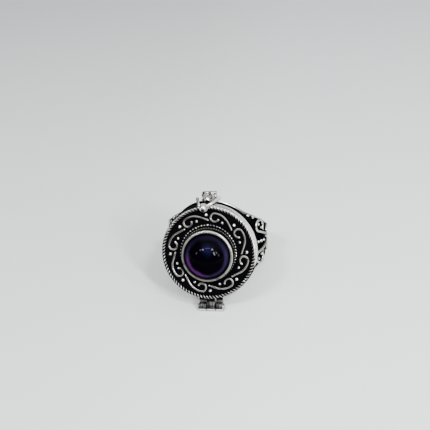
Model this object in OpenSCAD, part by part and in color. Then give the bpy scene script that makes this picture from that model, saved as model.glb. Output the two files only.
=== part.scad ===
// Poison ring: a wide saddle band carries a round drum, and a hinged lid with a cabochon closes the drum.
// Head frame: X across the shoulders, Y along the finger axis towards the catch, Z out through the lid.
// The finished ring lies on its hinge side, as it would by itself on a table.

/* [Band] */
// Inside diameter of the band (finger size)
finger_d = 19; // [18.4:0.1:20.4]
// Thickness of the band at the back
band_t = 1.6; // [1.4:0.1:2]
// Width of the band at the back
band_w = 4.6; // [3.6:0.1:6]
// Width that the shoulders would reach at the crown of the band
shoulder_w = 17.8; // [16.4:0.2:18.4]
// How much thicker the band is under the head than at the back
head_extra = 0.6; // [0.4:0.1:1]
// How far the saddle's edge stands out past the drum
saddle_lip = 1; // [0.5:0.05:1.2]
// How far the shank lies off the drum's middle, towards the catch
shank_off = 0.6; // [0:0.1:0.8]

/* [Drum] */
// Outside diameter of the drum
drum_d = 20.2; // [19.6:0.1:20.4]
// Wall of the drum
drum_wall = 0.9; // [0.7:0.1:1.1]
// Height of the drum above the crown of the saddle
drum_h = 1.4; // [1.3:0.1:4]
// Height of the collar that centres the lid
collar_h = 0.6; // [0.4:0.1:0.9]
// Thickness of that collar
collar_t = 0.5; // [0.4:0.1:0.6]

/* [Lid] */
// How far the lid stands out past the drum
lid_overhang = 0.25; // [0.2:0.05:0.4]
// How much further the lower edge of the lid's skirt stands out
skirt_flare = 0.25; // [0.2:0.05:0.45]
// Height of the lid's skirt, plate included
lid_h = 2.3; // [2.2:0.1:3.5]
// Thickness of the lid's plate
plate_t = 0.8; // [0.6:0.1:1]
// Space left between the lid and the drum
lid_gap = 0.12; // [0.1:0.01:0.2]
// Diameter of the wire along the lid's rim
rim_wire_d = 0.7; // [0.5:0.05:0.8]
// How far the middle of the rim wire lies in from the lid's edge
rim_inset = 0.4; // [0.4:0.05:0.6]

/* [Stone] */
// Diameter of the cabochon
stone_d = 9.8; // [9:0.1:10.2]
// Height of the straight girdle of the cabochon
girdle_h = 1.7; // [1.4:0.1:1.8]
// Height of the dome above the girdle
dome_h = 3.2; // [2.4:0.1:3.6]
// Thickness of the setting's wall
bezel_t = 0.7; // [0.5:0.05:0.8]
// How far the setting's rim stands above the girdle
bezel_hold = 0.6; // [0.4:0.05:0.8]
// How far the setting stands off centre, towards the hinge
bezel_off = 0.35; // [0:0.05:0.4]

/* [Ornament] */
// Diameter of the scroll wire
scroll_wire_d = 0.42; // [0.3:0.02:0.5]
// Diameter of the larger granules
big_grain_d = 0.78; // [0.5:0.02:0.8]
// Diameter of the smaller granules
small_grain_d = 0.6; // [0.4:0.02:0.64]
// Height of the wirework on the shoulders
relief_h = 0.6; // [0.4:0.05:0.7]
// Width of the wirework on the shoulders
relief_w = 0.6; // [0.45:0.05:0.7]
// Diameter of the largest granules on the shoulders
shoulder_grain_d = 0.8; // [0.6:0.05:0.9]

/* [Hinge] */
// Diameter of the hinge barrel
barrel_d = 1.9; // [1.7:0.1:2.1]
// How far the middle of the barrel stands out from the lid's edge
hinge_reach = 2.45; // [2:0.05:2.7]
// Diameter of the hinge pin
pin_d = 0.8; // [0.6:0.05:0.9]
// Running clearance round the pin, on the radius
pin_gap = 0.04; // [0.02:0.01:0.06]
// Width of the middle knuckle
knuckle_w = 1.8; // [1.6:0.1:2.2]
// Width of each outer knuckle
side_knuckle_w = 1.6; // [1.4:0.1:2]
// Space between neighbouring knuckles
knuckle_gap = 0.2; // [0.15:0.05:0.3]

/* [Catch] */
// Width of the catch block
block_w = 3.1; // [2.6:0.1:3.4]
// How far the catch block stands out from the drum
block_reach = 2.9; // [2.4:0.1:3.2]
// Height of the catch block
block_h = 2.1; // [1.6:0.1:2.2]
// Diameter of the catch wire
catch_wire_d = 0.6; // [0.5:0.02:0.66]
// Diameter of the thumb bead
bead_d = 1.7; // [1.4:0.1:1.8]
// How far the arms of the catch wire hang below the lid's plate
catch_drop = 2; // [1.4:0.1:2.2]

/* [Hidden] */
smooth = 96;
fine = 32;
eps = 0.01;
past = 0.05 * finger_d;

finger_r = finger_d / 2;
outer_r = finger_r + band_t + head_extra / 2;
outer_z = head_extra / 2;
floor_r = finger_r + 0.6 * band_t;
crown_z = outer_z + outer_r;
drum_r = drum_d / 2;
drum_foot_z = 0.38 * finger_r;
saddle_r = drum_r + saddle_lip;
seam_z = crown_z + drum_h;

lid_r = drum_r + lid_overhang;
skirt_r = lid_r + skirt_flare;
plate_z = seam_z + lid_h;
rim_r = lid_r - rim_inset;
skirt_t = drum_wall;
collar_r = lid_r - skirt_t - lid_gap;

stone_r = stone_d / 2;
stone_gap = 0.05;
bezel_h = girdle_h + bezel_hold;
bezel_r = stone_r + bezel_t;

barrel_r = barrel_d / 2;
barrel_y = -(lid_r + hinge_reach);
barrel_z = seam_z + lid_gap / 2;
leaf_t = 0.4 * barrel_d;
leaf_drop = 0.15;
rivet_t = 0.2;
rivet_gap = 0.02;
hinge_w = knuckle_w + 2 * knuckle_gap + 2 * side_knuckle_w;

block_root = 0.5 * drum_wall;
block_z = seam_z - leaf_drop;
block_grain_d = 0.42 * block_w;
block_grain_x = -0.1 * block_w;
block_grain_gap = 0.12;
block_grain_out = skirt_r - drum_r + block_grain_gap + block_grain_d / 2;

// the lid's scrolls: coil, long arc and straight tail, as shares of the rim's radius
scroll_count = 8;
coil_x = 0.794 * rim_r;
coil_dy = -0.045 * rim_r;
coil_r = 0.09 * rim_r;
coil_sweep = 243;
tail_r = 0.352 * rim_r;
tail_sweep = 55;
tail_l = 0.18 * rim_r;
first_scroll = 36.6;
big_grain_x = 0.844 * rim_r;
big_grain_turn = 10;
small_grain_x = 0.733 * rim_r;
small_grain_turn = -17.6;

// each shoulder scroll in a side view: a coil beside the drum, a stem, and a foot coil at the middle
coil_out = 0.32 * outer_r;
coil_z = 0.46 * outer_r;
shoulder_coil_r = 0.118 * outer_r;
stem_angle = 30;
stem_w = 0.8 * relief_w;
foot_out = 0.149 * outer_r;
foot_z = -0.088 * outer_r;
foot_coil_r = 0.114 * outer_r;
foot_angle = 15;
// each shoulder granule: angle down from the crown, share of the half width there, share of the diameter
shoulder_grains = [
    [44, 0.92, 1], [51, 0.91, 1], [44, -0.92, 1], [53, -0.9, 1],
    [62, 0.7, 0.88], [68, 0.59, 0.75], [74, 0.52, 0.62],
    [62, -0.7, 0.88], [68, -0.59, 0.75], [74, -0.52, 0.62],
    [61, 0, 1], [68, 0, 1], [76, 0, 0.88], [95, 0.47, 1], [95, -0.47, 1],
];

// the catch wire: each arm's knee and tip, past the lid's edge, as shares of the block's width
bead_x = -0.26 * block_w;
bead_in = 0.26 * bead_d;
catch_arms = [
    [[0.29, 0.13], [0.774, 0.452]],
    [[-0.613, 0.048], [-0.79, 0.403]],
];

// the ring tips until the barrel and the lower edge of the band's back both touch the table
edge_y = shank_off - band_w / 2;
rest_a = barrel_y - edge_y;
rest_b = barrel_z + outer_r - outer_z;
rest_tilt = asin(barrel_r / norm([rest_a, rest_b])) - atan2(rest_a, rest_b);
rest_z = -edge_y * cos(rest_tilt) + (outer_r - outer_z) * sin(rest_tilt);
dome_r = (stone_r * stone_r + dome_h * dome_h) / (2 * dome_h);
dome_z = plate_z + girdle_h + dome_h - dome_r;
front_y = -dome_z * cos(rest_tilt) - bezel_off * sin(rest_tilt) - dome_r;
back_y = (outer_r - outer_z) * cos(rest_tilt) + (edge_y + band_w) * sin(rest_tilt);

// the flanks flare on a circle that starts upright at the back
back_z = outer_z - outer_r;
flare = (shoulder_w - band_w) / 2;
rise = crown_z - back_z;
flare_r = (rise * rise + flare * flare) / (2 * flare);
function half_flank(z) = band_w / 2 + flare_r - sqrt(flare_r * flare_r - (z - back_z) * (z - back_z));
function cone_r(z) = 0.99 * finger_r + (saddle_r - 0.99 * finger_r) * z / crown_z;
function half_width(x, z) = max(half_flank(z), sqrt(max(cone_r(z) * cone_r(z) - x * x, 0)));

// lays a piece of the head frame down on the table
module laid() {
    translate([0, -(front_y + back_y) / 2, rest_z])
        rotate([90 - rest_tilt, 0, 0])
            children();
}

// a cylinder along the finger axis
module along_finger(r, l) {
    rotate([90, 0, 0])
        cylinder(r = r, h = l, center = true, $fn = smooth);
}

// a cylinder along the hinge axis
module along_hinge(r, l) {
    rotate([0, 90, 0])
        cylinder(r = r, h = l, center = true, $fn = fine);
}

module hoop_wall() {
    difference() {
        translate([0, 0, outer_z])
            along_finger(outer_r, 3 * drum_d);
        along_finger(finger_r, 4 * drum_d);
    }
}

// side outline of the shank: narrow at the back, and flaring up to the shoulders
module flank_outline() {
    translate([shank_off, back_z])
        difference() {
            translate([-flare_r, -past])
                square([2 * flare_r, rise + 2 * past]);
            for (side = [-1, 1])
                translate([side * (band_w / 2 + flare_r), 0])
                    circle(r = flare_r, $fn = 2 * smooth);
        }
}

module saddle_band() {
    intersection() {
        hoop_wall();
        union() {
            rotate([90, 0, 90])
                linear_extrude(height = 3 * drum_d, center = true)
                    flank_outline();
            cylinder(r1 = cone_r(0), r2 = saddle_r, h = crown_z, $fn = smooth);
            translate([0, 0, crown_z])
                cylinder(r = saddle_r, h = past, $fn = smooth);
        }
    }
}

module drum_wall_and_collar() {
    translate([0, 0, drum_foot_z])
        cylinder(r = drum_r, h = seam_z - drum_foot_z, $fn = smooth);
    translate([0, 0, seam_z - drum_wall])
        cylinder(r = collar_r, h = drum_wall + collar_h, $fn = smooth);
}

// the hidden space for the contents: round like the drum, with the band's curve as its floor
module poison_space() {
    difference() {
        union() {
            cylinder(r = drum_r - drum_wall, h = seam_z - drum_wall, $fn = smooth);
            cylinder(r = collar_r - collar_t, h = seam_z + 2 * collar_h, $fn = smooth);
        }
        along_finger(floor_r, 2 * drum_d);
    }
}

// a raised coil in the Y-Z plane, open for a quarter turn or more from an angle
module coil_outline(r, gap_start) {
    difference() {
        circle(r = r + relief_w / 2, $fn = smooth);
        circle(r = r - relief_w / 2, $fn = smooth);
        rotate(gap_start)
            square([2 * r, 2 * r]);
    }
}

// one raised scroll of a shoulder in the Y-Z plane, its coil beside the drum and its stem down the middle
module shoulder_scroll_outline() {
    top = [coil_out - shoulder_coil_r * cos(stem_angle), coil_z + shoulder_coil_r * sin(stem_angle)];
    foot = [foot_out - foot_coil_r * cos(foot_angle), foot_z + foot_coil_r * sin(foot_angle)];
    way = foot - top;
    translate([coil_out, coil_z])
        coil_outline(shoulder_coil_r, 180 - stem_angle + 10);
    translate([foot_out, foot_z])
        coil_outline(foot_coil_r, 90 - foot_angle);
    translate(top)
        rotate(atan2(way[1], way[0]))
            translate([0, -stem_w / 2])
                square([norm(way), stem_w]);
}

module shoulder_wirework() {
    intersection() {
        difference() {
            translate([0, 0, outer_z])
                along_finger(outer_r + relief_h, 2 * shoulder_w);
            translate([0, 0, outer_z])
                along_finger(outer_r - relief_h, 3 * shoulder_w);
        }
        rotate([90, 0, 90])
            linear_extrude(height = 2 * outer_r)
                translate([shank_off, 0]) {
                    shoulder_scroll_outline();
                    mirror([1, 0])
                        shoulder_scroll_outline();
                }
    }
    for (grain = shoulder_grains) {
        across = outer_r * sin(grain[0]);
        up = outer_z + outer_r * cos(grain[0]);
        translate([0, shank_off + grain[1] * half_width(across, up), outer_z])
            rotate([0, grain[0], 0])
                translate([0, 0, outer_r + 0.2 * grain[2] * shoulder_grain_d])
                    sphere(d = grain[2] * shoulder_grain_d, $fn = fine);
    }
}

module side_knuckles() {
    for (side = [-1, 1])
        translate([side * (hinge_w - side_knuckle_w) / 2, 0, 0]) {
            translate([0, barrel_y, barrel_z])
                along_hinge(barrel_r, side_knuckle_w);
            translate([-side_knuckle_w / 2, barrel_y, seam_z - leaf_drop - leaf_t])
                cube([side_knuckle_w, -barrel_y - drum_r + block_root, leaf_t]);
        }
}

module catch_block() {
    translate([-block_w / 2, drum_r - block_root, block_z - block_h])
        cube([block_w, block_root + block_reach, block_h]);
    translate([block_grain_x, drum_r + block_grain_out, block_z + 0.1 * block_grain_d])
        sphere(d = block_grain_d, $fn = fine);
}

module ring() {
    color("silver")
        difference() {
            union() {
                saddle_band();
                drum_wall_and_collar();
                shoulder_wirework();
                mirror([1, 0, 0])
                    shoulder_wirework();
                side_knuckles();
                catch_block();
            }
            along_finger(finger_r, 4 * drum_d);
            poison_space();
            translate([0, barrel_y, barrel_z])
                along_hinge(pin_d / 2 + rivet_gap, 2 * hinge_w);
        }
}

module hinge_pin() {
    color("gainsboro")
        translate([0, barrel_y, barrel_z]) {
            along_hinge(pin_d / 2, hinge_w + 2 * rivet_t);
            for (side = [-1, 1])
                translate([side * (hinge_w / 2 + rivet_gap + rivet_t / 2), 0, 0])
                    along_hinge(0.75 * pin_d, rivet_t);
        }
}

// a wire bent round an arc in the plane of the lid, with its middle on the circle
module wire_arc(bend_r, start, sweep) {
    rotate([0, 0, start])
        rotate_extrude(angle = sweep, $fn = smooth)
            translate([bend_r, 0])
                circle(d = scroll_wire_d, $fn = fine);
}

// a ball just thicker than the wire, which closes a joint or an end of it
module wire_ball() {
    sphere(d = 1.12 * scroll_wire_d, $fn = fine);
}

// one scroll of the lid, its coil on the X axis and its tail trailing clockwise
module lid_scroll() {
    tail_x = coil_x + coil_r - tail_r;
    translate([coil_x, coil_dy, 0]) {
        wire_arc(coil_r, 0, coil_sweep);
        for (turn = [0, coil_sweep])
            rotate(turn)
                translate([coil_r, 0, 0])
                    wire_ball();
    }
    translate([tail_x, coil_dy, 0]) {
        wire_arc(tail_r, -tail_sweep, tail_sweep);
        rotate(-tail_sweep)
            translate([tail_r, 0, 0]) {
                rotate([90, 0, 0])
                    cylinder(d = scroll_wire_d, h = tail_l, $fn = fine);
                for (way = [0, tail_l])
                    translate([0, -way, 0])
                        wire_ball();
            }
    }
}

module lid_wirework() {
    for (k = [0:scroll_count - 1])
        rotate(first_scroll + k * 360 / scroll_count) {
            translate([0, 0, plate_z + 0.25 * scroll_wire_d])
                lid_scroll();
            rotate(big_grain_turn)
                translate([big_grain_x, 0, plate_z + 0.25 * big_grain_d])
                    sphere(d = big_grain_d, $fn = fine);
            rotate(small_grain_turn)
                translate([small_grain_x, 0, plate_z + 0.25 * small_grain_d])
                    sphere(d = small_grain_d, $fn = fine);
        }
}

module rim_wire() {
    translate([0, 0, plate_z + 0.07 * rim_wire_d])
        rotate_extrude($fn = smooth)
            translate([rim_r, 0])
                circle(d = rim_wire_d, $fn = fine);
}

// the setting, leaning in over the girdle to hold the stone
module bezel() {
    translate([0, -bezel_off, plate_z - eps])
        rotate_extrude($fn = smooth)
            polygon([
                [stone_r + stone_gap, 0],
                [bezel_r + 0.3 * bezel_t, 0],
                [bezel_r + 0.3 * bezel_t, 0.5 * bezel_t],
                [bezel_r, 0.5 * bezel_t],
                [bezel_r, bezel_h - 0.4 * bezel_t],
                [bezel_r - 0.3 * bezel_t, bezel_h],
                [bezel_r - 0.7 * bezel_t, bezel_h],
                [stone_r + stone_gap - 0.2 * bezel_t, bezel_h - 0.2 * bezel_t],
                [stone_r + stone_gap - 0.2 * bezel_t, girdle_h + 0.25 * dome_h],
                [stone_r + stone_gap, girdle_h],
            ]);
}

// a straight piece of wire from one point to another
module wire_between(from, to, d) {
    way = to - from;
    translate(from)
        rotate([0, acos(way[2] / norm(way)), atan2(way[1], way[0])])
            cylinder(d = d, h = norm(way), $fn = fine);
}

// the forked catch wire, whose two arms straddle the catch block, with the thumb bead on its crown
module catch_wire() {
    crown = [bead_x, lid_r - bead_in, plate_z + 0.5 * catch_wire_d];
    for (arm = catch_arms) {
        knee = [arm[0][0] * block_w, lid_r + arm[0][1] * block_w, plate_z];
        tip = [arm[1][0] * block_w, lid_r + arm[1][1] * block_w, plate_z - catch_drop];
        wire_between(crown, knee, catch_wire_d);
        wire_between(knee, tip, catch_wire_d);
        for (joint = [knee, tip])
            translate(joint)
                sphere(d = 1.08 * catch_wire_d, $fn = fine);
    }
    translate([bead_x, lid_r - bead_in, plate_z - plate_t / 2])
        cylinder(d = 1.15 * bead_d, h = plate_t / 2 + 0.2 * bead_d, $fn = fine);
    translate([bead_x, lid_r - bead_in, plate_z + 0.55 * bead_d])
        sphere(d = bead_d, $fn = fine);
}

module middle_knuckle() {
    difference() {
        union() {
            translate([0, barrel_y, barrel_z])
                along_hinge(barrel_r, knuckle_w);
            translate([-knuckle_w / 2, barrel_y, seam_z + lid_gap + leaf_drop])
                cube([knuckle_w, hinge_reach + block_root, leaf_t]);
        }
        translate([0, barrel_y, barrel_z])
            along_hinge(pin_d / 2 + pin_gap, 2 * knuckle_w);
    }
}

module lid() {
    color("lightgray") {
        difference() {
            translate([0, 0, seam_z + lid_gap])
                cylinder(r1 = skirt_r, r2 = lid_r, h = lid_h - lid_gap, $fn = smooth);
            cylinder(r = lid_r - skirt_t, h = plate_z - plate_t, $fn = smooth);
        }
        rim_wire();
        lid_wirework();
        bezel();
        catch_wire();
        middle_knuckle();
    }
}

// the cabochon: a straight girdle under a high round dome
module stone() {
    color("indigo")
        translate([0, -bezel_off, plate_z])
            rotate_extrude($fn = smooth)
                intersection() {
                    union() {
                        square([stone_r, girdle_h]);
                        translate([0, girdle_h + dome_h - dome_r])
                            circle(r = dome_r, $fn = smooth);
                    }
                    square([stone_r, girdle_h + dome_h]);
                }
}

laid() ring();
laid() hinge_pin();
laid() lid();
laid() stone();
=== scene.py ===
"""The looks of the poison ring: blackened and polished silver, twisted and curled wire, a dark cabochon.

Everything is modelled in millimetres in the head's frame: X across the shoulders, Y along the finger
axis towards the catch, Z out through the lid. lay() then puts a piece down on the table, in metres.
"""

import math

import bmesh
import bpy
from mathutils import Matrix, Vector


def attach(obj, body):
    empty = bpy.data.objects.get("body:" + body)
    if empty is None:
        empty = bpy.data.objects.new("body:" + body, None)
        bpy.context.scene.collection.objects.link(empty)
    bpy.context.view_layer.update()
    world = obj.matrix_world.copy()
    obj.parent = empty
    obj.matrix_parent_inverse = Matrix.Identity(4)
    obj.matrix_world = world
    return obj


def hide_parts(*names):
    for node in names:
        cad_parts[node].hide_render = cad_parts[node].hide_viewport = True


# driving sizes in millimetres, as in the part's source
FINGER_R = 9.5
BAND_T = 1.6
HEAD_EXTRA = 0.6
BACK_W = 4.6
SHOULDER_W = 17.8
SADDLE_LIP = 1.0
SHANK_OFF = 0.6
DRUM_R = 10.1
DRUM_WALL = 0.9
DRUM_H = 1.4
COLLAR_T = 0.5
COLLAR_H = 0.6
LID_OVERHANG = 0.25
SKIRT_FLARE = 0.25
LID_H = 2.3
PLATE_T = 0.8
LID_GAP = 0.12
RIM_WIRE_D = 0.7
RIM_INSET = 0.4
STONE_R = 4.9
STONE_GAP = 0.05
GIRDLE_H = 1.7
DOME_H = 3.2
BEZEL_T = 0.7
BEZEL_HOLD = 0.6
SETTING_Y = -0.35
SCROLL_WIRE_D = 0.42
BIG_GRAIN_D = 0.78
SMALL_GRAIN_D = 0.6
BARREL_R = 0.95
HINGE_REACH = 2.45
KNUCKLE_W = 1.8
SIDE_KNUCKLE_W = 1.6
KNUCKLE_GAP = 0.2
LEAF_DROP = 0.15
BLOCK_W = 3.1
BLOCK_REACH = 2.9
BLOCK_H = 2.1
BLOCK_GRAIN_GAP = 0.12
CATCH_DROP = 2.0
BEAD_D = 1.7

# sizes that only this script has, in millimetres
BEAD_X = -0.8
ROPE_LIFT = 0.05
SEED_ROW_R = 6.09
WELD = 1e-5

# how the ring lies on the table: its tilt in degrees and where its finger hole's middle is
REST_TILT = 26.62681
REST_SHIFT = (0.0, 3.8245, 6.49448)

# the photograph's camera in the head's frame, angles in degrees
VIEW_PLACE = (20.33, 27.52, 139.56)
VIEW_RIGHT = 8.553
VIEW_UP = 8.8
VIEW_ROLL = -1.412
VIEW_FIELD = 40
PIXELS_PER_MM = 4.7

# sizes worked out from the driving ones
OUTER_R = FINGER_R + BAND_T + HEAD_EXTRA / 2
OUTER_Z = HEAD_EXTRA / 2
BACK_Z = OUTER_Z - OUTER_R
CROWN_Z = OUTER_Z + OUTER_R
FLOOR_R = FINGER_R + 0.6 * BAND_T
FLARE = (SHOULDER_W - BACK_W) / 2
FLARE_R = ((CROWN_Z - BACK_Z) ** 2 + FLARE ** 2) / (2 * FLARE)
SADDLE_R = DRUM_R + SADDLE_LIP
SADDLE_FOOT_R = 0.99 * FINGER_R
SEAM_Z = CROWN_Z + DRUM_H
LID_R = DRUM_R + LID_OVERHANG
SKIRT_R = LID_R + SKIRT_FLARE
COLLAR_R = LID_R - DRUM_WALL - LID_GAP
PLATE_Z = SEAM_Z + LID_H
RIM_R = LID_R - RIM_INSET
BEZEL_R = STONE_R + BEZEL_T
BEZEL_H = GIRDLE_H + BEZEL_HOLD
DOME_R = (STONE_R ** 2 + DOME_H ** 2) / (2 * DOME_H)
BARREL_Y = -(LID_R + HINGE_REACH)
BARREL_Z = SEAM_Z + LID_GAP / 2
LEAF_T = 0.8 * BARREL_R
LEAF_Z = SEAM_Z - LEAF_DROP
HINGE_W = KNUCKLE_W + 2 * KNUCKLE_GAP + 2 * SIDE_KNUCKLE_W
BLOCK_GRAIN_D = 0.42 * BLOCK_W
BEAD_Y = LID_R - 0.26 * BEAD_D

HEAD_TURN = Matrix.Rotation(math.radians(90 - REST_TILT), 4, "X")
LAY = Matrix.Scale(0.001, 4) @ Matrix.Translation(REST_SHIFT) @ HEAD_TURN

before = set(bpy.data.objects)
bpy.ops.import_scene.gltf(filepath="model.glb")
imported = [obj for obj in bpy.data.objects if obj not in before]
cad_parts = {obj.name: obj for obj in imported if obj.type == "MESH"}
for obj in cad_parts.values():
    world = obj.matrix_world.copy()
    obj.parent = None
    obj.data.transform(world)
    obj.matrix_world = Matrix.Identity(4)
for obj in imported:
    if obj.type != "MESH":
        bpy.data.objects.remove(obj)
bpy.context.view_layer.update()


# shapes

def lay(bm, name, body, material, stands_for=(), sharp=35):
    """Turns a bmesh of the head's frame into a piece of the ring that lies on the table."""
    bmesh.ops.remove_doubles(bm, verts=bm.verts, dist=WELD)
    bmesh.ops.recalc_face_normals(bm, faces=bm.faces)
    bm.transform(LAY)
    mesh = bpy.data.meshes.new(name)
    bm.to_mesh(mesh)
    bm.free()
    mesh.polygons.foreach_set("use_smooth", [True] * len(mesh.polygons))
    mesh.set_sharp_from_angle(angle=math.radians(sharp))
    mesh.materials.append(material)
    made = bpy.data.objects.new(name, mesh)
    bpy.context.scene.collection.objects.link(made)
    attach(made, body)
    if stands_for:
        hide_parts(*stands_for)
    return made


def spin(bm, outline, middle, axis, turns):
    """Turns a closed outline of places once round an axis through the middle."""
    corners = [bm.verts.new(place) for place in outline]
    sides = [bm.edges.new(pair) for pair in zip(corners, corners[1:] + corners[:1])]
    bmesh.ops.spin(bm, geom=corners + sides, cent=middle, axis=axis,
                   angle=math.tau, steps=turns, use_merge=True)
    bmesh.ops.remove_doubles(bm, verts=bm.verts, dist=WELD)


def lathe(bm, outline, turns=160, middle=(0, 0)):
    """Spins a closed outline of (radius, height) about the Z axis through the middle."""
    places = [(middle[0] + r, middle[1], z) for r, z in outline]
    spin(bm, places, (*middle, 0), (0, 0, 1), turns)
    bmesh.ops.recalc_face_normals(bm, faces=bm.faces)


def soften(bm, radius, steps=3, over=35, only=None):
    """Rounds the edges that turn by more than an angle."""
    bmesh.ops.recalc_face_normals(bm, faces=bm.faces)
    sharp = [e for e in bm.edges if e.is_manifold and e.calc_face_angle(0) > math.radians(over)
             and (only is None or only(e))]
    bmesh.ops.bevel(bm, geom=sharp, offset=radius, offset_type="OFFSET", segments=steps,
                    profile=0.5, affect="EDGES", clamp_overlap=True, material=-1)


def block(bm, low, high, radius, steps=3):
    """A box from one corner to another with rounded edges."""
    part = bmesh.new()
    size = Vector(high) - Vector(low)
    place = Matrix.Translation((Vector(high) + Vector(low)) / 2) @ Matrix.Diagonal((*size, 1))
    bmesh.ops.create_cube(part, size=1, matrix=place)
    soften(part, radius, steps)
    join(bm, part)


def barrel(bm, low_x, high_x, hole):
    """A stretch of the hinge's barrel, with a hole for the pin."""
    part = bmesh.new()
    lathe(part, [(hole, low_x), (BARREL_R, low_x), (BARREL_R, high_x), (hole, high_x)], turns=64)
    soften(part, 0.12, 3, 60)
    part.transform(Matrix.Translation((0, BARREL_Y, BARREL_Z)) @ Matrix.Rotation(math.pi / 2, 4, "Y"))
    join(bm, part)


def join(bm, part):
    """Adds one bmesh to another."""
    mesh = bpy.data.meshes.new("part")
    part.to_mesh(mesh)
    part.free()
    bm.from_mesh(mesh)
    bpy.data.meshes.remove(mesh)


def wires(bm, runs, d, closed=False, sides=3):
    """Round wires along runs of points."""
    curve = bpy.data.curves.new("run", "CURVE")
    curve.dimensions = "3D"
    curve.bevel_depth = d / 2
    curve.bevel_resolution = sides
    curve.use_fill_caps = not closed
    for run in runs:
        spline = curve.splines.new("POLY")
        spline.points.add(len(run) - 1)
        for point, place in zip(spline.points, run):
            point.co = (*place, 1)
        spline.use_cyclic_u = closed
    holder = bpy.data.objects.new("run", curve)
    mesh = bpy.data.meshes.new_from_object(holder)
    bm.from_mesh(mesh)
    bpy.data.objects.remove(holder)
    bpy.data.curves.remove(curve)
    bpy.data.meshes.remove(mesh)


def grain(bm, place, d, rings=10):
    """A melted granule."""
    bmesh.ops.create_uvsphere(bm, u_segments=2 * rings, v_segments=rings, radius=d / 2,
                              matrix=Matrix.Translation(place))


def arc(middle, r, start, end, steps):
    """Points of an arc in a plane, from one angle to another in degrees."""
    angles = [math.radians(start + (end - start) * k / steps) for k in range(steps + 1)]
    return [(middle[0] + r * math.cos(a), middle[1] + r * math.sin(a)) for a in angles]


def turned(points, degrees):
    """Points of a plane turned about its origin."""
    c, s = math.cos(math.radians(degrees)), math.sin(math.radians(degrees))
    return [(c * x - s * y, s * x + c * y) for x, y in points]


# finishes

class Shade:
    """One output of a node in a finish. Sums written on it add their Math nodes."""

    def __init__(self, tree, output=None):
        self.tree, self.output = tree, output

    def node(self, kind, settings=None, values=None, out=0):
        """Adds a node with its settings and the values or links of its sockets, and gives one output."""
        made = self.tree.nodes.new(kind)
        for name, value in (settings or {}).items():
            setattr(made, name, value)
        for name, value in (values or {}).items():
            if isinstance(value, Shade):
                self.tree.links.new(value.output, made.inputs[name])
            else:
                made.inputs[name].default_value = value
        return Shade(self.tree, made.outputs[out] if made.outputs else None)

    def maths(self, operation, *terms):
        return self.node("ShaderNodeMath", {"operation": operation}, dict(enumerate(terms)))

    def __add__(self, other):
        return self.maths("ADD", self, other)

    def __sub__(self, other):
        return self.maths("SUBTRACT", self, other)

    def __rsub__(self, other):
        return self.maths("SUBTRACT", other, self)

    def __mul__(self, other):
        return self.maths("MULTIPLY", self, other)

    def __truediv__(self, other):
        return self.maths("DIVIDE", self, other)

    def __pow__(self, other):
        return self.maths("POWER", self, other)

    __radd__ = __add__
    __rmul__ = __mul__

    def rise(self, low, high):
        """0 below the low value, 1 above the high one, and smooth between them."""
        return self.node("ShaderNodeMapRange", {"interpolation_type": "SMOOTHSTEP"},
                         {"Value": self, "From Min": low, "From Max": high})

    def least(self, other):
        return self.maths("MINIMUM", self, other)

    def most(self, other):
        return self.maths("MAXIMUM", self, other)

    def blend(self, low, high):
        """One colour where this value is 0 and the other where it is 1."""
        return self.node("ShaderNodeMix", {"data_type": "RGBA"},
                         {0: self, 6: as_colour(low), 7: as_colour(high)}, out=2)


def as_colour(value):
    """A colour with its alpha, or a link as it is."""
    return value if isinstance(value, Shade) else (*value, 1)


def finish(name, build):
    """A material whose shader sockets are what build() gives for the head's frame."""
    material = bpy.data.materials.new(name)
    material.use_nodes = True
    tree = material.node_tree
    tree.nodes.clear()
    start = Shade(tree)
    at = start.node("ShaderNodeTexCoord", out="Object")
    head = start.node("ShaderNodeMapping", {"vector_type": "TEXTURE"}, {
        "Vector": at,
        "Location": [c / 1000 for c in REST_SHIFT],
        "Rotation": (math.radians(90 - REST_TILT), 0, 0),
        "Scale": (0.001, 0.001, 0.001),
    })
    shader = start.node("ShaderNodeBsdfPrincipled", None, build(head))
    start.node("ShaderNodeOutputMaterial", None, {"Surface": shader})
    return material


def axes(head):
    """The X, Y and Z of the place in the head's frame."""
    split = head.node("ShaderNodeSeparateXYZ", None, {"Vector": head})
    return [Shade(head.tree, split.output.node.outputs[k]) for k in range(3)]


def length(a, b):
    """How long a line is that goes a one way and b across it."""
    return (a * a + b * b) ** 0.5


def noise(head, scale, detail=3.0, rough=0.5, stretch=(1, 1, 1), turn=(0, 0, 0)):
    """Cloudy noise, scale in waves a millimetre."""
    placed = head.node("ShaderNodeMapping", None, {"Vector": head, "Scale": stretch, "Rotation": turn})
    return head.node("ShaderNodeTexNoise", None,
                     {"Vector": placed, "Scale": scale, "Detail": detail, "Roughness": rough})


def open_sky(head, reach):
    """1 on open metal and 0 deep in a corner, which counts as far as reach in millimetres."""
    return head.node("ShaderNodeAmbientOcclusion", {"samples": 8}, {"Distance": reach / 1000}, out="AO")


TARNISH = (0.66, 0.62, 0.52)


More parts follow.
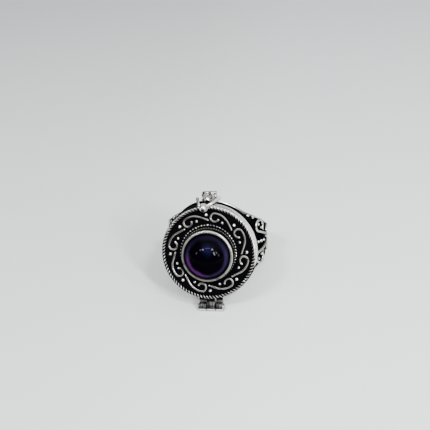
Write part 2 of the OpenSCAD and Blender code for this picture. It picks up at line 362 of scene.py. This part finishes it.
def silver(name, polished, tint=(0.60, 0.59, 0.545), shine=0.12, reach=0.35, rough=1.0,
           black=(0.003, 0.0031, 0.0043), glance=(0.3, 0.3, 0.32), sheen=1.0):
    """Silver that is bright where polished() is 1 and black where it is 0 or a corner kept its patina.

    tint is the bright metal's colour and glance its tint seen at a flat angle. shine is the bright
    metal's roughness and rough the depth of its marks. Below 1, sheen takes the black metal's mirror.
    """
    def build(head):
        cloud = noise(head, 0.55)
        speckle = noise(head, 5.5, 4.0, 0.6)
        strokes = noise(head, 3.0, 3.0, 0.6, stretch=(0.6, 9, 3), turn=(0.3, 0.2, 0.9))
        corner = open_sky(head, reach).rise(0.35, 0.8)
        # bright also carries the painted highlights and shade that some polished() masks hold
        bright = (polished(head) * corner).least(1.0)
        film = cloud.rise(0.42, 0.72) * 0.5 + speckle.rise(0.5, 0.75) * 0.35
        metal = film.blend(tint, [c * t for c, t in zip(tint, TARNISH)])
        ground = speckle.rise(0.45, 0.8).blend(black, [c * 2.2 for c in black])
        relief = strokes * 0.4 + speckle * 0.8 + noise(head, 1.3) * 1.6
        return {
            "Base Color": bright.blend(ground, metal),
            "Metallic": bright.most(sheen) if sheen < 1 else 1.0,
            "Specular IOR Level": 0.0,
            "Specular Tint": (*glance, 1),
            "Roughness": (1 - bright) * 0.36 + film * 0.12 + strokes * 0.07 + shine,
            "Normal": head.node("ShaderNodeBump", None,
                                {"Height": relief, "Strength": 0.35, "Distance": 0.00003 * rough}),
        }
    return finish(name, build)


def above(height, soft):
    """Bright above a height over the lid's plate."""
    def mask(head):
        return axes(head)[2].rise(PLATE_Z + height - soft, PLATE_Z + height + soft)
    return mask


def facing(head, degrees, low, high):
    """1 on the side of the lid that faces a way given in degrees from its right, 0 on the other side; the
    masks use it for painted light and shade.
    """
    x, y, z = axes(head)
    way = math.radians(degrees)
    return ((x * math.cos(way) + y * math.sin(way)) / length(x, y)).rise(low, high)


def off_bead(head):
    """0 on the black metal right round the thumb bead, 1 away from it."""
    x, y, z = axes(head)
    return length(x - BEAD_X, y - BEAD_Y).rise(1.15, 1.5)


def from_rope(head):
    """Bright on the crests of the rim's twisted wires and black between them, with a painted highlight
    outside towards the upper right and painted shade outside at the upper left.
    """
    x, y, z = axes(head)
    out = length(x, y) - RIM_R
    crest = length(out, z - PLATE_Z - ROPE_LIFT).rise(0.34, 0.38)
    # painted highlight: the outer half of the wires is made bright on the side towards the upper right
    painted_lit_side = facing(head, 75, 0.1, 0.35) * out.rise(0.02, 0.12) * off_bead(head)
    # painted shade: the outside of the wires is made black at the upper left
    painted_shade_upper_left = out.rise(0.28, 0.38) * facing(head, 137, 0.78, 0.9)
    return crest.most(painted_lit_side) * (1 - painted_shade_upper_left)


def seed_shine(head):
    """The tiny grains round the setting are bright on top, most of all in the outer row, and brighter towards
    the upper right as a painted highlight.
    """
    x, y, z = axes(head)
    row = length(x, y - SETTING_Y).rise(SEED_ROW_R - 0.11, SEED_ROW_R - 0.01)
    top = (z - PLATE_Z + row * 0.12).rise(0.32, 0.36)
    # painted highlight: the grains are brighter on the side towards the upper right
    return top * (row * 0.65 + 0.35) * (facing(head, 44, -0.5, 0.3) * 0.75 + 0.25)


def bezel_shine(head):
    """The setting is bright on its rim, darker towards the hinge as painted shade and in random tarnish
    patches, and black inside and at its foot.
    """
    x, y, z = axes(head)
    lip = length(x, y - SETTING_Y).rise(STONE_R + 0.18, STONE_R + 0.3)
    # painted shade on the side towards the hinge, plus random patches of tarnish
    painted_shade_and_tarnish = facing(head, -125, -0.5, 0.5) * 0.68 + noise(head, 0.8).rise(0.45, 0.65) * 0.2
    return above(1.85, 0.3)(head) * lip * (1 - painted_shade_and_tarnish)


def off_axis(head):
    """The distance from the axis of the band's outside."""
    x, y, z = axes(head)
    return length(x, z - OUTER_Z)


def shoulder_top(head):
    """Bright on the raised shoulder wires, black at their feet."""
    return off_axis(head).rise(OUTER_R + 0.12, OUTER_R + 0.28)


def flank_half(z):
    """Half the width of the shank's flared flank at a height, a number or a Shade like z."""
    rise = z - BACK_Z
    return BACK_W / 2 + FLARE_R - (FLARE_R ** 2 - rise * rise) ** 0.5


def saddle_r(z):
    """The radius of the saddle round the drum at a height, a number or a Shade like z."""
    return z * ((SADDLE_R - SADDLE_FOOT_R) / CROWN_Z) + SADDLE_FOOT_R


def half_widths(x, z):
    """Half the width of the shank's flank, and of the saddle round the drum, seen along the finger."""
    cone = saddle_r(z)
    return flank_half(z), math.sqrt(max(cone * cone - x * x, 0)) if z > 0 else 0


def reach_across(x, z):
    """The lowest and the highest Y of the shank at a place seen along the finger."""
    flank, saddle = half_widths(x, z)
    return min(SHANK_OFF - flank, -saddle), max(SHANK_OFF + flank, saddle)


def shank_shine(head):
    """The shank is black on its outside between its bright edges, down to below the wirework; high up on the
    left the edges stay black as painted shade.
    """
    x, y, z = axes(head)
    outside = off_axis(head).rise(OUTER_R - 0.12, OUTER_R - 0.04)
    flank, cone = flank_half(z), saddle_r(z)
    spread = (cone * cone - x * x).most(0.0) ** 0.5
    high_side = (flank + SHANK_OFF).most(spread) - y
    low_side = (flank - SHANK_OFF).most(spread) + y
    edge = 1 - high_side.least(low_side).rise(0.26, 0.36)
    # painted shade: the edges stay black high up on the left side; they are bright on the right and low down
    painted_lit_side = x.rise(1.4, 2.2).most(1 - z.rise(2, 4))
    high = (z + noise(head, 0.5, 4.0, 0.6) * 2).rise(-3.4, -1.2)
    return 1 - outside * (1 - edge * painted_lit_side) * high


def block_shine(head):
    """The catch block is bright with black pits, and black next to the lid."""
    x, y, z = axes(head)
    pits = (noise(head, 2.0, 3.0) * 0.7 + noise(head, 7.0, 2.0) * 0.3).rise(0.46, 0.53)
    return (y.rise(SKIRT_R + 0.05, SKIRT_R + 0.4) * pits).most(1 - z.rise(SEAM_Z - 0.7, SEAM_Z - 0.4))


def arm_shine(head):
    """The catch wire is bright along its top and black along its sides."""
    x, y, z = axes(head)
    drop = (y - BEAD_Y - 0.74).most(0.0) * 1.9
    return (z - PLATE_Z + drop).rise(0.04, 0.16)


def bead_shine(head):
    """The thumb bead is bright, with a painted dark reflection on its top and a black foot."""
    x, y, z = axes(head)
    # painted reflection: a dark spot on the bead's top stands for a dark reflection
    painted_dark_reflection = 1 - length(x - BEAD_X - 0.05, y - BEAD_Y + 0.38).rise(0.32, 0.48)
    return above(0.3, 0.1)(head) * (1 - painted_dark_reflection * 0.95)


def leaf_shine(head):
    """The hinge is black next to the lid as painted shadow, grey on its leaves, bright on the barrel's outer
    side and underside, with a painted dark reflection across the barrel and a painted highlight on its right
    end.
    """
    x, y, z = axes(head)
    streaks = noise(head, 1.6, 2.0, stretch=(2.2, 0.25, 1)).rise(0.4, 0.65)
    leaf = streaks * 0.27 + 0.05
    back = 1 - (y + noise(head, 2.0) * 0.2).rise(BARREL_Y - 0.4, BARREL_Y - 0.2)
    # painted reflection: the barrel's front is darkened into a dark band
    band = ((y - BARREL_Y + 0.05).rise(0.45, 0.8) * 0.75 + 0.25) * leaf
    # painted shadow: near is 0, so the leaves are black, next to the lid
    near = 1 - (y + noise(head, 1.5) * 0.4).rise(BARREL_Y + 1.3, BARREL_Y + 1.8)
    under = 1 - z.rise(BARREL_Z - 0.35, BARREL_Z - 0.1)
    # painted highlight: only the right end is made bright
    end = x.rise(HINGE_W / 2 - 0.1, HINGE_W / 2 - 0.03)
    return (band * near).most(back).most(under * near).most(end)


def drum_shine(head):
    """The drum's wall is black outside and bright inside and on its ledge."""
    x, y, z = axes(head)
    out = length(x, y)
    return 1 - out.rise(DRUM_R - 0.12, DRUM_R - 0.05) * (1 - z.rise(SEAM_Z - 0.2, SEAM_Z - 0.1))


def lid_shine(head):
    """The lid's plate is black on top, its inside bright and its wall bright on one side as a painted
    highlight.
    """
    x, y, z = axes(head)
    out = length(x, y)
    wall = out.rise(LID_R - 0.12, LID_R - 0.05).most(z.rise(PLATE_Z - 0.12, PLATE_Z - 0.05))
    ragged = noise(head, 1.2) * 0.3
    # painted highlight: the wall above the seam and the plate's brow are made bright towards the upper right
    side = facing(head, 33, 0.62, 0.74) * (z + ragged).rise(SEAM_Z + 0.4, SEAM_Z + 0.55)
    brow = facing(head, 45, 0.5, 0.7) * (z + ragged).rise(PLATE_Z - 0.4, PLATE_Z - 0.2)
    painted_lit_side = side.most(brow) * out.rise(RIM_R + 0.1, RIM_R + 0.3) * off_bead(head)
    return (1 - wall).most(painted_lit_side)


BRIGHT = (0.9, 0.89, 0.85)
MIRROR = (1, 1, 1)
WIRE_SILVER = silver("wire_silver", above(0.25, 0.06), (0.72, 0.7, 0.65))
SEED_SILVER = silver("seed_silver", seed_shine, BRIGHT, reach=0.08)
ROPE_SILVER = silver("rope_silver", from_rope, BRIGHT, reach=0.1)
BEZEL_SILVER = silver("bezel_silver", bezel_shine, shine=0.2)
SHELL_SILVER = silver("lid_silver", lid_shine, BRIGHT, shine=0.2,
                      black=(0.0014, 0.0014, 0.002), glance=MIRROR, sheen=0.15)
DRUM_SILVER = silver("drum_silver", drum_shine, shine=0.2)
SHANK_SILVER = silver("shank_silver", shank_shine, shine=0.16)
SHOULDER_SILVER = silver("shoulder_silver", shoulder_top)
HINGE_SILVER = silver("hinge_silver", leaf_shine, BRIGHT, shine=0.14, reach=0.4)
CATCH_SILVER = silver("catch_silver", arm_shine, BRIGHT, shine=0.16, reach=0.3)
BEAD_SILVER = silver("bead_silver", bead_shine, BRIGHT, shine=0.22, reach=0.45)
GRAIN_SILVER = silver("catch_grain_silver", above(-2.1, 0.14), BRIGHT, shine=0.1, reach=0.3)
BLOCK_SILVER = silver("block_silver", block_shine, (0.88, 0.87, 0.83), shine=0.18, reach=0.5, rough=4.0)


def amethyst(head):
    """Nearly black purple with a painted ring of light inside its edge, dimmer towards the top, a painted
    glow above the middle and a painted glow where the light gathers at the lower left.
    """
    x, y, z = axes(head)
    level = y - SETTING_Y
    out = length(x, level) / STONE_R
    veil = noise(head, 0.35, 2.0) - 0.5
    edge = 1 - out.rise(0.9, 0.97) * 0.85
    # painted light: a pale ring inside the stone's edge
    ring = (out + veil * 0.2).rise(0.74, 0.87) * edge
    towards = (x * -0.72 - level * 0.69) / STONE_R
    # painted glow at the lower left
    glow = (towards + veil * 0.3).rise(0.4, 0.9) * (out + veil * 0.2).rise(0.66, 0.84) * edge
    # painted light: the ring is dimmer towards the top
    side = (1 - (level / STONE_R).rise(0.1, 0.8) * 0.7) * ring
    body = side.blend((0.0005, 0.0003, 0.0012), (0.011, 0.008, 0.026))
    # painted glow: a bluish spot above the middle
    body_with_painted_glow = (1 - (length(x - 0.4, level - 1.9) + veil * 3).rise(0.2, 1.6)).blend(body, (0.0035, 0.0025, 0.017))
    return {
        "Base Color": glow.blend(body_with_painted_glow, (0.055, 0.012, 0.082)),
        "Roughness": 0.5,
        "Specular IOR Level": 0.0,
        "Coat Weight": level.rise(-1.5, 1.5) * 0.06 + 0.01,
        "Coat Roughness": 0.03,
    }


STONE = finish("amethyst", amethyst)


# the shank and the drum

def make_shank():
    """A bar spun round the finger and widened towards the crown, sunk where the drum's floor is."""
    half = 22
    turns = 300
    rim = 0.5
    inside, outside = 1, 2
    rows = [-half - 1, *range(-half, half + 1), half + 1]
    outline = [(0, row, outside) for row in rows]
    outline += [(0, row, inside) for row in (half + 1, half, -half, -half - 1)]
    bm = bmesh.new()
    spin(bm, outline, (0, 0, 0), (0, 1, 0), turns)
    for corner in bm.verts:
        x, row, z = corner.co
        level = math.hypot(x, z)
        across, up = x / level, z / level
        is_outside = level > (inside + outside) / 2
        r = FINGER_R
        if is_outside:
            r = OUTER_Z * up + math.sqrt(OUTER_R ** 2 - (OUTER_Z * across) ** 2)
        x, z = r * across, r * up
        low, high = reach_across(x, z)
        y = (low + high) / 2 + ((high - low) / 2 - rim) * row / half
        if abs(row) > half + 0.5:
            y = high if row > 0 else low
        if is_outside and z > 0 and math.hypot(x, y) < DRUM_R - DRUM_WALL / 2 - 0.05:
            x, z = FLOOR_R * across, FLOOR_R * up
        corner.co = (x, y, z)
    bm.normal_update()

    def on_rim(edge):
        """Whether an edge lies along one of the shank's flanks."""
        gaps = [min(abs(v.co.y - flank) for flank in reach_across(v.co.x, v.co.z)) for v in edge.verts]
        return max(gaps) < 1e-3

    soften(bm, 0.2, 4, 40, on_rim)
    return lay(bm, "shank", "shank", SHANK_SILVER, ("ring",))


def make_drum():
    """The drum's wall with the collar that centres the lid, its foot sunk in the shank."""
    bm = bmesh.new()
    inside = DRUM_R - DRUM_WALL
    lathe(bm, [
        (inside, 0), (DRUM_R, 0), (DRUM_R, SEAM_Z), (COLLAR_R, SEAM_Z),
        (COLLAR_R, SEAM_Z + COLLAR_H), (COLLAR_R - COLLAR_T, SEAM_Z + COLLAR_H),
        (COLLAR_R - COLLAR_T, SEAM_Z - DRUM_WALL), (inside, SEAM_Z - DRUM_WALL),
    ])
    for corner in bm.verts:
        if corner.co.z < FINGER_R / 2:
            sunk = FLOOR_R + (0.1 if math.hypot(*corner.co.xy) > inside + 0.1 else -0.3)
            corner.co.z = math.sqrt(max(sunk ** 2 - corner.co.x ** 2, 0.2))
    soften(bm, 0.12, 3, 60, lambda e: all(v.co.z > CROWN_Z for v in e.verts))
    return lay(bm, "drum", "shank", DRUM_SILVER)


def on_shank(y, z, lift):
    """The place over the shank's outside that a side view shows at (y, z)."""
    level = z - OUTER_Z
    angle = math.acos(max(-1.0, min(1.0, level / OUTER_R)))
    r = OUTER_R + lift
    return (r * math.sin(angle), y, OUTER_Z + r * math.cos(angle))


SHOULDER_GRAINS = [  # degrees down from the crown, share of the half width there, diameter
    (44, 0.92, 0.8), (51, 0.91, 0.8), (44, -0.92, 0.8), (53, -0.9, 0.8),
    (62, 0.7, 0.7), (68, 0.59, 0.6), (74, 0.52, 0.5),
    (62, -0.7, 0.7), (68, -0.59, 0.6), (74, -0.52, 0.5),
    (61, 0, 0.8), (68, 0, 0.8), (76, 0, 0.7), (95, 0.47, 0.8), (95, -0.47, 0.8),
]


def make_shoulders():
    """Each shoulder's two scrolls, coiled beside the drum and again at the foot, and its granules."""
    bm = bmesh.new()
    relief, wire_d, end_d = 0.2, 0.62, 0.64
    coil = arc((0.32 * OUTER_R, 0.46 * OUTER_R), 0.118 * OUTER_R, -120, 150, 40)
    foot = arc((0.149 * OUTER_R, -0.088 * OUTER_R), 0.114 * OUTER_R, 165, 435, 40)
    stem = [tuple(Vector(coil[-1]).lerp(Vector(foot[0]), k / 20)) for k in range(1, 20)]
    for side in (-1, 1):
        runs = []
        for hand in (-1, 1):
            run = [on_shank(SHANK_OFF + hand * y, z, relief) for y, z in coil + stem + foot]
            runs.append([(side * x, y, z) for x, y, z in run])
        wires(bm, runs, wire_d, sides=4)
        for down, along, d in SHOULDER_GRAINS:
            across, up = math.sin(math.radians(down)), math.cos(math.radians(down))
            half = max(half_widths(OUTER_R * across, OUTER_Z + OUTER_R * up))
            r = OUTER_R + 0.2 * d
            grain(bm, (side * r * across, SHANK_OFF + along * half, OUTER_Z + r * up), d)
        for run in runs:
            grain(bm, run[0], end_d, 8)
            grain(bm, run[-1], end_d, 8)
    return lay(bm, "shoulder_wires", "shank", SHOULDER_SILVER)


def make_shank_knuckles():
    """The hinge's two outer knuckles, each on a leaf that comes out of the drum."""
    bm = bmesh.new()
    for side in (-1, 1):
        middle = side * (HINGE_W - SIDE_KNUCKLE_W) / 2
        low, high = middle - SIDE_KNUCKLE_W / 2, middle + SIDE_KNUCKLE_W / 2
        barrel(bm, low, high, hole=0.42)
        block(bm, (low, BARREL_Y + 0.1, LEAF_Z - LEAF_T), (high, DRUM_WALL / 2 - DRUM_R, LEAF_Z), 0.1)
    return lay(bm, "shank_knuckles", "shank", HINGE_SILVER)


def make_catch_block():
    """The block that the catch wire springs past, and the large granule on it."""
    bm = bmesh.new()
    low = (-BLOCK_W / 2, DRUM_R - DRUM_WALL / 2, LEAF_Z - BLOCK_H)
    high = (BLOCK_W / 2, DRUM_R + BLOCK_REACH, LEAF_Z)
    block(bm, low, high, 0.16, 4)
    lay(bm, "catch_block", "shank", BLOCK_SILVER)
    bm = bmesh.new()
    grain_y = SKIRT_R + BLOCK_GRAIN_GAP + BLOCK_GRAIN_D / 2
    grain(bm, (-0.1 * BLOCK_W, grain_y, LEAF_Z + 0.1 * BLOCK_GRAIN_D), BLOCK_GRAIN_D, 20)
    return lay(bm, "catch_grain", "shank", GRAIN_SILVER)


# the lid

def make_lid_shell():
    """The lid's plate and its skirt, which flares towards the drum."""
    bm = bmesh.new()
    low = SEAM_Z + LID_GAP
    lathe(bm, [
        (0, PLATE_Z), (0, PLATE_Z - PLATE_T), (LID_R - DRUM_WALL, PLATE_Z - PLATE_T),
        (LID_R - DRUM_WALL, low), (SKIRT_R, low), (LID_R, PLATE_Z),
        (RIM_R, PLATE_Z), (BEZEL_R, PLATE_Z),
    ], turns=192)
    soften(bm, 0.14, 4, 60)
    return lay(bm, "lid_shell", "lid", SHELL_SILVER, ("lid",))


def make_rim_rope(twists=44):
    """Two thin wires twisted together round the lid's rim."""
    bm = bmesh.new()
    steps = twists * 14
    strand = RIM_WIRE_D / 4 + 0.01
    runs = []
    for start in (0, math.pi):
        run = []
        for k in range(steps):
            along = math.tau * k / steps
            twist = start - twists * along
            r = RIM_R + strand * math.cos(twist)
            z = PLATE_Z + ROPE_LIFT + strand * math.sin(twist)
            run.append((r * math.cos(along), r * math.sin(along), z))
        runs.append(run)
    wires(bm, runs, 2.1 * strand, closed=True, sides=2)
    return lay(bm, "rim_rope", "lid", ROPE_SILVER, sharp=70)


def make_scrolls():
    """Eight scrolls of round wire, all curling the same way, each with its two granules."""
    bm = bmesh.new()
    d = SCROLL_WIRE_D
    height = PLATE_Z + 0.25 * d
    coil_x, coil_y, coil_r = 7.9, -0.45, 0.9
    tail_r, tail_sweep, tail_end = 3.5, 55, 1.8
    coil = arc((coil_x, coil_y), coil_r, 243, 0, 30)
    tail = arc((coil_x + coil_r - tail_r, coil_y), tail_r, 0, -tail_sweep, 24)
    way = math.radians(-tail_sweep - 90)
    onward = Vector((math.cos(way), math.sin(way))) * tail_end
    straight = [tuple(Vector(tail[-1]) + onward * share) for share in (0.25, 0.5, 0.75, 1)]
    path = coil + tail[1:] + straight
    granules = [(8.4, 10, BIG_GRAIN_D), (7.29, -17.6, SMALL_GRAIN_D)]
    count, first = 8, 36.6
    for k in range(count):
        turn = first + 360 / count * k
        run = [(x, y, height) for x, y in turned(path, turn)]
        wires(bm, [run], d)
        grain(bm, run[0], 1.2 * d, 8)
        grain(bm, run[-1], 1.05 * d, 8)
        for r, ahead, size in granules:
            x, y = turned([(r, 0)], turn + ahead)[0]
            grain(bm, (x, y, PLATE_Z + 0.25 * size), size, 12)
    return lay(bm, "lid_scrolls", "lid", WIRE_SILVER)


SEED_ROWS = [  # radius, middle, lift over the plate, diameter, count, smoothness
    (SEED_ROW_R, 0, 0.08, 0.38, 56, 6),
    (BEZEL_R + 0.22, SETTING_Y, 0.2, 0.36, 66, 5),
]


def make_seed_grains():
    """Two rings of tiny grains round the setting, the inner one finer and higher."""
    bm = bmesh.new()
    for r, middle_y, lift, d, count, rings in SEED_ROWS:
        for k in range(count):
            x, y = turned([(r, 0)], 360 * k / count)[0]
            grain(bm, (x, y + middle_y, PLATE_Z + lift), d, rings)
    return lay(bm, "seed_grains", "lid", SEED_SILVER)


def make_bezel():
    """The setting's wall, rolled in over the stone's girdle, on a thin foot."""
    bm = bmesh.new()
    inner = STONE_R + STONE_GAP
    lip_r = inner - 0.14
    foot_r = BEZEL_R + 0.21
    low, foot_top, top = PLATE_Z - 0.01, PLATE_Z + 0.35, PLATE_Z + BEZEL_H
    girdle_top = PLATE_Z + GIRDLE_H
    lathe(bm, [
        (inner, low), (foot_r, low), (foot_r, foot_top), (BEZEL_R, foot_top),
        (BEZEL_R, top), (lip_r, top), (lip_r, girdle_top + 0.2), (inner, girdle_top),
    ], turns=192, middle=(0, SETTING_Y))
    soften(bm, 0.26, 6, 60, lambda e: all(v.co.z > top - 0.1 for v in e.verts))
    return lay(bm, "bezel", "lid", BEZEL_SILVER)


CATCH_ARMS = [  # where each arm bends down over the skirt, and where it ends
    ((0.9, LID_R + 0.4), (2.4, LID_R + 1.4)),
    ((-1.9, LID_R + 0.15), (-2.45, LID_R + 1.25)),
]


def make_catch_wire():
    """The forked wire that springs past the catch block, its two arms from under the thumb bead."""
    bm = bmesh.new()
    wire_d, end_d = 0.68, 0.7
    crown = Vector((BEAD_X, BEAD_Y, PLATE_Z + 0.3))
    runs = []
    for knee, tip in CATCH_ARMS:
        knee, tip = Vector((*knee, PLATE_Z)), Vector((*tip, PLATE_Z - CATCH_DROP))
        near, far = knee.lerp(crown, 0.25), knee.lerp(tip, 0.2)
        run = [crown.lerp(near, k / 6) for k in range(6)]
        run += [near.lerp(knee, k / 8).lerp(knee.lerp(far, k / 8), k / 8) for k in range(9)]
        run += [far.lerp(tip, k / 8) for k in range(1, 9)]
        runs.append([tuple(place) for place in run])
    wires(bm, runs, wire_d, sides=4)
    for run in runs:
        grain(bm, run[-1], end_d)
    return lay(bm, "catch_wire", "lid", CATCH_SILVER)


def make_thumb_bead():
    """The bead that opens the catch, on a short round foot."""
    bm = bmesh.new()
    place = (BEAD_X, BEAD_Y)
    foot_r = 0.975
    low, high = PLATE_Z - PLATE_T / 2, PLATE_Z + 0.2 * BEAD_D
    lathe(bm, [(0, low), (foot_r, low), (foot_r, high), (0, high)], turns=48, middle=place)
    soften(bm, 0.12, 3, 60)
    grain(bm, (*place, PLATE_Z + 0.55 * BEAD_D), BEAD_D, 20)
    return lay(bm, "thumb_bead", "lid", BEAD_SILVER)


def make_lid_knuckle():
    """The hinge's middle knuckle, on a leaf that comes out of the lid's skirt."""
    bm = bmesh.new()
    half = KNUCKLE_W / 2
    barrel(bm, -half, half, hole=0.44)
    low = SEAM_Z + LID_GAP + LEAF_DROP
    block(bm, (-half, BARREL_Y + 0.1, low), (half, DRUM_WALL / 2 - LID_R, low + LEAF_T), 0.1)
    return lay(bm, "lid_knuckle", "lid", HINGE_SILVER)


def make_stone():
    """The cabochon: a straight girdle under a high round dome."""
    bm = bmesh.new()
    girdle_top = PLATE_Z + GIRDLE_H
    middle_z = girdle_top + DOME_H - DOME_R
    low = math.degrees(math.asin((girdle_top - middle_z) / DOME_R))
    dome = [(max(r, 0), z) for r, z in arc((0, middle_z), DOME_R, low, 90, 40)]
    lathe(bm, [(0, PLATE_Z), (STONE_R, PLATE_Z), *dome], middle=(0, SETTING_Y))
    return lay(bm, "cabochon", "lid", STONE, ("stone",), sharp=60)


make_shank()
make_drum()
make_shoulders()
make_shank_knuckles()
make_catch_block()
make_lid_shell()
make_rim_rope()
make_scrolls()
make_seed_grains()
make_bezel()
make_catch_wire()
make_thumb_bead()
make_lid_knuckle()
make_stone()
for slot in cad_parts["hinge_pin"].material_slots:
    slot.material = HINGE_SILVER


# floor, light and camera

def paper(head):
    """Pale paper with painted light that grows brighter to the right."""
    # painted light: the paper grows brighter towards the right
    painted_light_gradient = (axes(head)[0] + noise(head, 0.02) * 20).rise(-40, 35)
    return {
        "Base Color": painted_light_gradient.blend((0.632, 0.668, 0.66), (0.7, 0.738, 0.735)),
        "Roughness": 0.8,
    }


def make_floor():
    """The sheet of paper that the ring lies on."""
    bm = bmesh.new()
    bmesh.ops.create_grid(bm, x_segments=1, y_segments=1, size=3)
    mesh = bpy.data.meshes.new("floor")
    bm.to_mesh(mesh)
    bm.free()
    mesh.materials.append(finish("paper", paper))
    floor = bpy.data.objects.new("floor", mesh)
    bpy.context.scene.collection.objects.link(floor)


LAMP_MIDDLE = Vector((0, -0.01, 0.012))
LAMP_AIM = Vector((0, -0.005, 0.012))
WINDOW_DISTANCE = 0.34
WINDOW_POWER = 540
WINDOWS = [  # pixels right of and below the dome's middle, width and height in metres, strength
    (-6, -5.2, 0.05, 0.025, 1.0), (-9, -4.8, 0.025, 0.04, 0.35), (-14, -1.2, 0.03, 0.05, 0.2),
    (-1, -6.6, 0.15, 0.01, 0.3), (3.7, -5.2, 0.035, 0.035, 1.0), (5.6, -1, 0.024, 0.09, 1.0),
    (8.2, -2, 0.025, 0.06, 0.35), (11, 1, 0.025, 0.055, 0.2),
]


def make_lamp(name, place, size, power):
    """A soft panel lamp that faces the ring, its place in metres."""
    data = bpy.data.lights.new(name, "AREA")
    data.shape = "RECTANGLE"
    data.size, data.size_y = size
    data.energy = power
    lamp = bpy.data.objects.new(name, data)
    aim = LAMP_AIM - place
    lamp.matrix_world = Matrix.Translation(place) @ aim.to_track_quat("-Z", "Y").to_matrix().to_4x4()
    bpy.context.scene.collection.objects.link(lamp)


def window_place(across, low):
    """A lamp's place from where it shows in the cabochon, in pixels right of its middle and below it."""
    back, right, up = view_axes()
    normal = (back + (right * across - up * low) / (PIXELS_PER_MM * DOME_R)).normalized()
    way = 2 * normal.dot(back) * normal - back
    return HEAD_TURN.to_3x3() @ way * WINDOW_DISTANCE + LAMP_MIDDLE


def make_sky():
    """Even pale light, brighter from above."""
    sky = bpy.data.worlds.new("sky")
    sky.use_nodes = True
    tree = sky.node_tree
    tree.nodes.clear()
    start = Shade(tree)
    brightest = (0.34, 0.12, 0.93)
    way = start.node("ShaderNodeTexCoord", out="Generated")
    height = start.node("ShaderNodeVectorMath", {"operation": "DOT_PRODUCT"},
                        {0: way, 1: brightest}, out="Value")
    colour = height.rise(0.45, 0.85).blend((0.05, 0.053, 0.06), (0.95, 0.97, 1.0))
    back = start.node("ShaderNodeBackground", None, {"Color": colour, "Strength": 1.6})
    start.node("ShaderNodeOutputWorld", None, {"Surface": back})
    bpy.context.scene.world = sky


def view_axes():
    """The camera's back, right and up in the head's frame."""
    back = Vector((math.tan(math.radians(VIEW_RIGHT)), math.tan(math.radians(VIEW_UP)), 1)).normalized()
    right = Vector((0, 1, 0)).cross(back).normalized()
    up = back.cross(right)
    roll = Matrix.Rotation(math.radians(VIEW_ROLL), 3, back)
    return back, roll @ right, roll @ up


def make_camera():
    """The camera looks down on the lid, a little from the right and from the catch side."""
    back, right, up = view_axes()
    data = bpy.data.cameras.new("view")
    data.sensor_fit = "HORIZONTAL"
    data.angle = math.radians(VIEW_FIELD)
    data.clip_start = 0.005
    camera = bpy.data.objects.new("view", data)
    stand = Matrix((right, up, back)).transposed().to_4x4()
    camera.matrix_world = Matrix.Translation(LAY @ Vector(VIEW_PLACE)) @ HEAD_TURN @ stand
    bpy.context.scene.collection.objects.link(camera)
    bpy.context.scene.camera = camera


make_floor()
for number, (across, low, wide, tall, strength) in enumerate(WINDOWS):
    power = WINDOW_POWER * strength * wide * tall
    make_lamp("window_%d" % number, window_place(across, low), (wide, tall), power)
make_sky()
make_camera()
